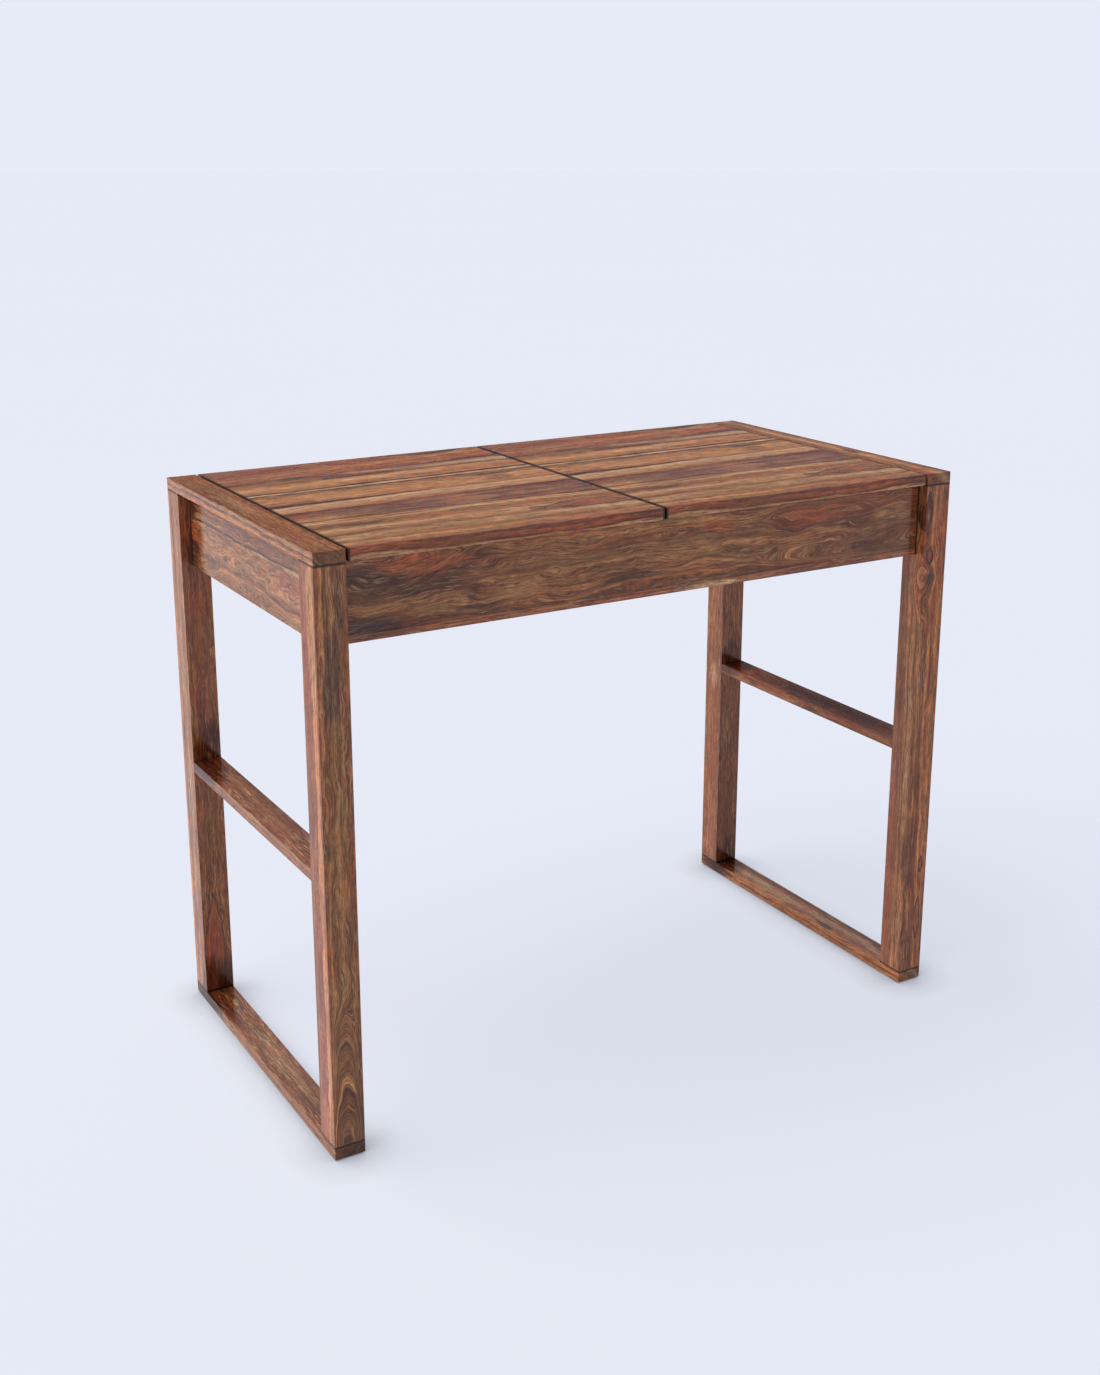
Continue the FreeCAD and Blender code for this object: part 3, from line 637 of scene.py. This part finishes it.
def zincPlated(name):
    # steel screws, zinc plated and clear passivated: cool grey metal with a faint blue and straw cast
    material, add, texture, shader = newMaterial(name)
    clouds = add("TexNoise", texture["Object"], 260.0, 2.0)  # 4 mm
    blue, straw = colour("#a9b0bb"), colour("#bdb8a6")
    hue = add("Mix RGBA", clouds, blue, straw)
    crystals = add("TexNoise", texture["Object"], 4000.0, 1.0)  # 0.25 mm, coarser than real ones
    matt = add("MapRange", crystals, 0.3, 0.7, 0.28, 0.42)
    bump = add("Bump", {"Strength": 0.2, "Distance": 0.02 * mm, "Height": crystals})
    setInputs(shader, {"Base Color": hue, "Roughness": matt, "Normal": bump, "Metallic": 1.0})
    return material


def antiqueBrass(name):
    # pressed brass, darkened and relieved on its high spots: warm metal under brown patina clouds
    material, add, texture, shader = newMaterial(name)
    clouds = add("TexNoise", texture["Object"], 180.0, 4.0)  # 5.6 mm
    patina = add("MapRange", clouds, 0.42, 0.64, 0.0, 0.8)
    relieved, darkened = colour("#b48f4f"), colour("#5d4426")
    hue = add("Mix RGBA", patina, relieved, darkened)
    along = add("Mapping", {"Vector": texture["Object"], "Scale": (90.0, 4000.0, 4000.0)})
    marks = add("TexNoise", along, 1.0, 1.0)  # polishing marks, 11 mm by 0.25 mm
    matt = add("MapRange", patina, 0.0, 1.0, 0.28, 0.55)
    bump = add("Bump", {"Strength": 0.25, "Distance": 0.02 * mm, "Height": marks})
    setInputs(shader, {"Base Color": hue, "Roughness": matt, "Normal": bump, "Metallic": 1.0})
    return material


def turnedBeech(name):
    # beech dowel rod, turned and left bare: pale pinkish wood with short darker flecks
    material, add, texture, shader = newMaterial(name)
    flecks = add("TexVoronoi", {"Vector": texture["Object"], "Scale": 700.0})  # 1.4 mm
    fleck = add("MapRange", flecks, 0.12, 0.3, 0.5, 0.0)
    drift = add("TexNoise", texture["Object"], 120.0, 3.0)  # 8 mm
    pale, pink, flecked = colour("#d9b48c"), colour("#c3946a"), colour("#8f5f3c")
    hue = add("Mix RGBA", fleck, add("Mix RGBA", drift, pale, pink), flecked)
    bump = add("Bump", {"Strength": 0.3, "Distance": 0.05 * mm, "Height": flecks})
    setInputs(shader, {"Base Color": hue, "Roughness": 0.7, "Normal": bump, "IOR": 1.5})
    return material


def pressedFelt(name):
    # wool felt, pressed into dots: dark brown with paler hairs, drawn coarser than wool, and no shine
    material, add, texture, shader = newMaterial(name)
    hairs = add("TexNoise", texture["Object"], 3000.0, 3.0, {"Distortion": 2.0})  # 0.3 mm
    dark, paleHair = colour("#2c211c"), colour("#5e4b40")
    hue = add("Mix RGBA", hairs, dark, paleHair)
    bump = add("Bump", {"Strength": 0.8, "Distance": 0.15 * mm, "Height": hairs})
    setInputs(shader, {"Base Color": hue, "Roughness": 0.95, "Normal": bump, "Sheen Weight": 0.4})
    return material


def mouldedNylon(name):
    # injection moulded nylon glides: near black with a fine spark-eroded grain and scuffed high spots
    material, add, texture, shader = newMaterial(name)
    grit = add("TexNoise", texture["Object"], 2500.0, 2.0)  # 0.4 mm
    scuffs = add("TexNoise", texture["Object"], 220.0, 4.0)  # 4.5 mm
    scuffs = add("MapRange", scuffs, 0.55, 0.75, 0.0, 0.5)
    black, scuffed = colour("#1b1716"), colour("#3a3431")
    hue = add("Mix RGBA", scuffs, black, scuffed)
    matt = add("MapRange", grit, 0.3, 0.7, 0.42, 0.58)
    bump = add("Bump", {"Strength": 0.4, "Distance": 0.05 * mm, "Height": grit})
    setInputs(shader, {"Base Color": hue, "Roughness": matt, "Normal": bump, "IOR": 1.53})
    return material


zinc, brass = zincPlated("zincPlatedSteel"), antiqueBrass("antiqueBrass")
plainFinishes = {
    "beech_dowel": turnedBeech("turnedBeech"),
    "hinge_brass": brass,
    "zinc_screws": zinc,
    "bumper_felt": pressedFelt("pressedWoolFelt"),
    "glide_plastic": mouldedNylon("mouldedNylon"),
}
for subpart in frame["record"]["subparts"]:
    if subpart["material_slot"] in plainFinishes:
        setMaterial(nodes[subpart["node"]], plainFinishes[subpart["material_slot"]])
print("hardware finishes:", len(plainFinishes))

# Screws, nails and pins: one tree makes each kind and sets it at every point. Node, body, then in mm the
# length, the shank's and head's radius, the head's height, the tip's length and the thread's pitch, and last
# the bare part of the shank. Without a pitch there is no thread and no cross.
fasteners = {
    "footRailScrews": ("foot_rail_screws", "table", 60.0, 2.4, 4.5, 2.8, 5.0, 2.2, 0.4),
    "cleatScrews": ("cleat_screws", "table", 22.0, 1.5, 3.0, 2.0, 3.0, 1.4, 0.15),
    "leftBattenScrews": ("left_batten_screws", "left_lid", 22.0, 1.75, 3.5, 2.2, 3.5, 1.6, 0.15),
    "rightBattenScrews": ("right_batten_screws", "right_lid", 22.0, 1.75, 3.5, 2.2, 3.5, 1.6, 0.15),
    "hingeFrameScrews": ("hinge_frame_screws", "table", 11.0, 1.2, 2.5, 1.2, 2.4, 1.0, 0.15),
    "leftLidHingeScrews": ("left_lid_hinge_screws", "left_lid", 11.0, 1.2, 2.5, 1.2, 2.4, 1.0, 0.15),
    "rightLidHingeScrews": ("right_lid_hinge_screws", "right_lid", 11.0, 1.2, 2.5, 1.2, 2.4, 1.0, 0.15),
    "glideNails": ("glide_nails", "table", 13.0, 0.9, 3.0, 0.8, 2.0, 0.0, 1.0),
    "panelPins": ("panel_pins", "table", 14.0, 0.7, 1.4, 0.7, 1.5, 0.0, 1.0),
}
fastenerShape = {
    "faceRadius": 0.95, "crossReach": 0.62, "crossWidth": 0.3,  # shares of the head's radius
    "rimDepth": 0.1, "crossDepth": 0.7,  # shares of the head's height
    "core": 0.74, "plainCore": 0.999,  # the core's share of the shank's radius, with a thread and without
    "bareReach": 0.6,  # share of the shank that a bare part of 1 stands for
    "shoulder": 0.2 * mm, "point": 0.05 * mm,
    "crest": 0.95, "crestAtPoint": 0.1, "tipLeft": 0.25,  # the thread's height, and the tip's end without it
    "sides": 24, "threadSteps": 12, "smoothUnder": 35,  # degrees
}


def makeFastenerTree():
    shape = fastenerShape
    lengths = ("Length", "Shank Radius", "Core Radius", "Head Radius", "Head Height", "Tip", "Thread Start",
               "Pitch", "Cross Reach", "Cross Width", "Cross Depth")
    others = {"Cross": "Bool", "Thread": "Bool", "Seed": "Int", "Finish": "Material"}
    group, add, given = newGroup(
        "drivenFastener", {"Points": "Geometry", **dict.fromkeys(lengths, mm), **others},
        {"Fasteners": "Geometry"}, "GeometryNodeTree")
    size = dict(given.items())
    for name, first, operation, second in (
            ("Rim Depth", "Head Height", "MULTIPLY", shape["rimDepth"]),
            ("Face Radius", "Head Radius", "MULTIPLY", shape["faceRadius"]),
            ("Shoulder", "Thread Start", "ADD", shape["shoulder"]),
            ("Tip Start", "Length", "SUBTRACT", "Tip"),
            ("Bar Depth", "Cross Depth", "MULTIPLY", 2.0),
            ("Bar Length", "Cross Reach", "MULTIPLY", 2.0),
            ("Tip Left", "Tip", "MULTIPLY", shape["tipLeft"]),
            ("Thread End", "Length", "SUBTRACT", "Tip Left"),
            ("Thread Height", "Thread End", "SUBTRACT", "Shoulder"),
            ("Turns", "Thread Height", "DIVIDE", "Pitch"),
            ("Thread Depth", "Shank Radius", "SUBTRACT", "Core Radius")):
        size[name] = add("Math " + operation, size[first], size.get(second, second))

    # the body is a circle carried along the drive axis: how deep each stop is, and how wide the circle there
    stops = (
        (0.0, "Face Radius"), ("Rim Depth", "Head Radius"), ("Head Height", "Shank Radius"),
        ("Thread Start", "Shank Radius"), ("Shoulder", "Core Radius"), ("Tip Start", "Core Radius"),
        ("Length", shape["point"]))
    index = add("GeometryNodeInputIndex")
    switches = []
    for column in zip(*stops):
        switch = add("GeometryNodeIndexSwitch", {"Index": index}, data_type="FLOAT")
        while len(switch.index_switch_items) < len(stops):
            switch.index_switch_items.new()
        setInputs(switch, dict(enumerate([size.get(stop, stop) for stop in column], 1)))
        switches.append(switch)
    depth, radius = switches
    line = add("GeometryNodeMeshLine", {"Count": len(stops), "Offset": (0, 0, mm)}, mode="OFFSET")
    place = add("CombineXYZ", {"Z": depth})
    line = add("GeometryNodeSetPosition", line, {"Position": place})
    axis = add("GeometryNodeMeshToCurve", line)
    ring = add("GeometryNodeCurvePrimitiveCircle", {"Resolution": shape["sides"], "Radius": 1.0})
    body = add("GeometryNodeCurveToMesh", axis, ring, {"Scale": radius, "Fill Caps": True})

    # the cross is two bars cut out of the face
    cutHead = add("GeometryNodeMeshBoolean DIFFERENCE", {"Mesh 1": body}, solver="EXACT")
    for x, y in (("Bar Length", "Cross Width"), ("Cross Width", "Bar Length")):
        bar = add("CombineXYZ", size[x], size[y], size["Bar Depth"])
        bar = add("GeometryNodeMeshCube", {"Size": bar})
        setInputs(cutHead, {"Mesh 2": bar})
    body = add("GeometryNodeSwitch GEOMETRY", size["Cross"], body, cutHead)

    # the thread is a triangle carried along a spiral on the core, drawn in over the tip
    spiral = add("GeometryNodeCurveSpiral", {
        "Resolution": shape["threadSteps"], "Rotations": size["Turns"], "Start Radius": size["Core Radius"],
        "End Radius": size["Core Radius"], "Height": size["Thread Height"]})
    x, y, z = add("SeparateXYZ", add("GeometryNodeInputPosition")).outputs
    deep = add("Math ADD", z, size["Shoulder"])
    drawn = add("MapRange", deep, size["Tip Start"], size["Length"], 1.0, shape["crestAtPoint"])
    x, y = add("Math MULTIPLY", x, drawn), add("Math MULTIPLY", y, drawn)
    place = add("CombineXYZ", x, y, deep)
    spiral = add("GeometryNodeSetPosition", spiral, {"Position": place})
    spiral = add("GeometryNodeSetCurveNormal", {"Curve": spiral}, mode="Z_UP")
    ridge = add("GeometryNodeCurvePrimitiveCircle", {"Resolution": 3, "Radius": 1.0})
    crest = add("Math MULTIPLY", drawn, shape["crest"])
    crest = add("Math MULTIPLY", size["Thread Depth"], crest)
    thread = add("GeometryNodeCurveToMesh", spiral, ridge, {"Scale": crest, "Fill Caps": True})
    both = add("GeometryNodeJoinGeometry", thread)
    setInputs(both, {0: body})
    fastener = add("GeometryNodeSwitch GEOMETRY", size["Thread"], body, both)

    # one on every point, along its drive axis and turned by chance about it, as screws are left
    drive = add("GeometryNodeInputNamedAttribute", {"Name": "driveAxis"}, data_type="FLOAT_VECTOR")
    aimed = add("FunctionNodeAlignRotationToVector", {"Vector": drive}, axis="Z")
    chance = add("FunctionNodeRandomValue", 0.0, 2 * math.pi, {"Seed": size["Seed"]}, data_type="FLOAT")
    spin = add("FunctionNodeAxisAngleToRotation", {"Axis": (0, 0, 1), "Angle": chance})
    turned = add("FunctionNodeRotateRotation", aimed, spin, rotation_space="LOCAL")
    placed = add("GeometryNodeInstanceOnPoints", size["Points"], {"Instance": fastener, "Rotation": turned})
    realized = add("GeometryNodeRealizeInstances", placed)
    finished = add("GeometryNodeSetMaterial", realized, {"Material": size["Finish"]})
    add("NodeGroupOutput", {"Fasteners": finished})
    return group


def drivePoints(node):
    # the middle of each fastener's face in a CAD node, and the way that it is driven
    shape = bmesh.new()
    shape.from_mesh(nodes[node].data)
    bmesh.ops.remove_doubles(shape, verts=shape.verts, dist=0.0001 * mm)
    waiting, points = set(shape.verts), []
    while waiting:
        island, edge = [], [waiting.pop()]
        while edge:
            vert = edge.pop()
            island.append(vert.co.copy())
            for linked in vert.link_edges:
                other = linked.other_vert(vert)
                if other in waiting:
                    waiting.remove(other)
                    edge.append(other)
        low = Vector([min(co[i] for co in island) for i in range(3)])
        high = Vector([max(co[i] for co in island) for i in range(3)])
        middle, reach = (low + high) / 2, high - low
        along = max(range(3), key=lambda i: reach[i])
        aside = (along + 1) % 3
        widest = max(island, key=lambda co: abs(co[aside] - middle[aside]))  # on the head's rim
        drive = Vector((0, 0, 0))
        drive[along] = 1 if widest[along] < middle[along] else -1
        face = middle - drive * reach[along] / 2
        points.append((tuple(round(c, 7) for c in face), drive))
    shape.free()
    return sorted(points, key=lambda point: point[0])


fastenerTree = makeFastenerTree()
socketOf = {item.name: item.identifier for item in fastenerTree.interface.items_tree}
for number, (pieceName, (node, body, *sizes)) in enumerate(fasteners.items()):
    points = drivePoints(node)
    mesh = bpy.data.meshes.new(pieceName + "Points")
    mesh.from_pydata([place for place, drive in points], [], [])
    driveAxis = mesh.attributes.new("driveAxis", "FLOAT_VECTOR", "POINT")
    for index, (place, drive) in enumerate(points):
        driveAxis.data[index].vector = drive
    carrier = addObject(pieceName + "Points", mesh)
    modifier = carrier.modifiers.new("fasteners", "NODES")
    modifier.node_group = fastenerTree
    length, shank, head, headHeight, tip, pitch = (size * mm for size in sizes[:-1])
    bare, threaded = sizes[-1], pitch > 0
    values = {
        "Length": length, "Shank Radius": shank, "Head Radius": head, "Head Height": headHeight, "Tip": tip,
        "Core Radius": shank * fastenerShape["core" if threaded else "plainCore"],
        "Thread Start": headHeight + (length - headHeight) * fastenerShape["bareReach"] * bare,
        "Pitch": max(pitch, mm), "Cross Reach": head * fastenerShape["crossReach"],
        "Cross Width": head * fastenerShape["crossWidth"],
        "Cross Depth": headHeight * fastenerShape["crossDepth"],
        "Cross": threaded, "Thread": threaded, "Seed": number + 11,
        "Finish": brass if "hinge" in pieceName.lower() else zinc,
    }
    for name, value in values.items():
        modifier[socketOf[name]] = value
    made = bpy.data.meshes.new_from_object(carrier.evaluated_get(bpy.context.evaluated_depsgraph_get()))
    bpy.data.objects.remove(carrier)
    made.name = pieceName
    piece = addObject(pieceName, made)
    for polygon in made.polygons:
        polygon.use_smooth = True
    made.set_sharp_from_angle(angle=math.radians(fastenerShape["smoothUnder"]))
    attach(piece, body)
    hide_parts(node)
    print(pieceName + ":", len(points), "pieces,", len(made.polygons), "faces")

studio = {
    "floorRadius": 60.0, "floorDrop": 0.05 * mm,
    "paper": ("#d6d6d7", "#dadada"), "paperBounce": "#b4b4b5", "paperGlow": "#ebf0ff", "glowShare": 0.72,
    "paperMirrored": 0.82, "contactReach": 60 * mm, "contactLight": 0.12,
    "keyTilt": 35.0, "keyTurn": 18.0, "keySpread": 62.0, "keyLevel": 3.1,  # the first three in degrees
    # the sky's ends are given as how far up or back a direction points, from 0 to 1
    "skyColour": "#edf2ff", "skyDim": 0.10, "horizon": 0.94, "horizonEnds": (0.05, 0.115),
    "softbox": 0.66, "softboxUp": (0.30, 0.50), "softboxBack": (0.1, 0.5),
}
floorMesh = bpy.data.meshes.new("studioFloor")
shape = bmesh.new()
bmesh.ops.create_circle(shape, cap_ends=True, segments=96, radius=studio["floorRadius"])
bmesh.ops.translate(shape, verts=shape.verts, vec=(0, 0, -studio["floorDrop"]))
shape.to_mesh(floorMesh)
shape.free()
floor = addObject("studioFloor", floorMesh)
# matt white paper, lit evenly from below as well, so that shadows on it stay pale to the eye and in gloss
floorPaper, add, texture, shader = newMaterial("mattStudioPaper")
cloud = add("TexNoise", texture["Object"], 0.4, 2.0)  # 2.5 m
paper = add("Mix RGBA", cloud, *map(colour, studio["paper"]))
rays = add("LightPath").outputs
seen = add("Math MAXIMUM", rays["Is Camera Ray"], rays["Is Glossy Ray"])
seen = add("Math MAXIMUM", seen, rays["Is Transmission Ray"])
# the paper throws less light up at the table than it shows to the eye
paper = add("Mix RGBA", seen, colour(studio["paperBounce"]), paper)
setInputs(shader, {"Base Color": paper, "Roughness": 0.8, "Specular IOR Level": 0.1})
share = add("Math MULTIPLY", seen, studio["glowShare"])
mirrored = add("MapRange", rays["Is Glossy Ray"], 0.0, 1.0, 1.0, studio["paperMirrored"])
# the glow dies away under the rails and close to them, as light under a foot does
clear = add("AmbientOcclusion", {"Distance": studio["contactReach"]}, samples=8).outputs["AO"]
clear = add("MapRange", clear, 0.0, 1.0, studio["contactLight"], mirrored)
glow = add("Emission", colour(studio["paperGlow"]), clear)
both = add("MixShader", share, shader, glow)
setInputs(floorPaper.node_tree.nodes["Material Output"], {"Surface": both})
setMaterial(floor, floorPaper)

lamp = bpy.data.lights.new("softKey", "SUN")
lamp.energy, lamp.angle = studio["keyLevel"], math.radians(studio["keySpread"])
key = addObject("softKey", lamp)
key.visible_glossy = False  # gives light and shadow only: what shines in the lacquer is the room
key.rotation_euler = (0, math.radians(-studio["keyTilt"]), math.radians(-studio["keyTurn"]))

world = bpy.data.worlds.new("studioSky")
bpy.context.scene.world = world
world.use_nodes = True
world.node_tree.nodes.clear()
add = partial(addNode, world.node_tree)
_, y, z = add("SeparateXYZ", add("TexCoord").outputs["Generated"]).outputs
strength = add("MapRange SMOOTHSTEP", z, *studio["horizonEnds"], studio["horizon"], studio["skyDim"])
# a large softbox hangs behind the table
softbox = add("MapRange", z, *studio["softboxUp"], 0.0, studio["softbox"])
behind = add("MapRange", y, *studio["softboxBack"])
strength = add("Math ADD", strength, add("Math MULTIPLY", softbox, behind))
# straight to the camera the backdrop is evenly pale, however low the camera stands
straight = add("LightPath").outputs["Is Camera Ray"]
strength = add("Mix FLOAT", straight, strength, studio["horizon"])
sky = add("Background", colour(studio["skyColour"]), strength)
add("OutputWorld", sky)

# the camera is fitted to the table's corners in the photograph
view = {
    "place": (-1.16522, -1.95778, 1.20516), "azimuth": -30.4, "down": 15.54,  # m and degrees
    "lens": 44.80, "sensor": 36, "shiftX": -0.00115, "shiftY": -0.0564,  # mm and shares of the frame
}
cameraData = bpy.data.cameras.new("photoView")
cameraData.sensor_width = view["sensor"]
cameraData.lens = view["lens"]
cameraData.shift_x, cameraData.shift_y = view["shiftX"], view["shiftY"]
camera = addObject("photoView", cameraData)
camera.location = view["place"]
camera.rotation_euler = (math.radians(90 - view["down"]), 0, math.radians(view["azimuth"]))
bpy.context.scene.camera = camera
bpy.context.scene.view_settings.view_transform = "Standard"
print("stage, light and camera ready")
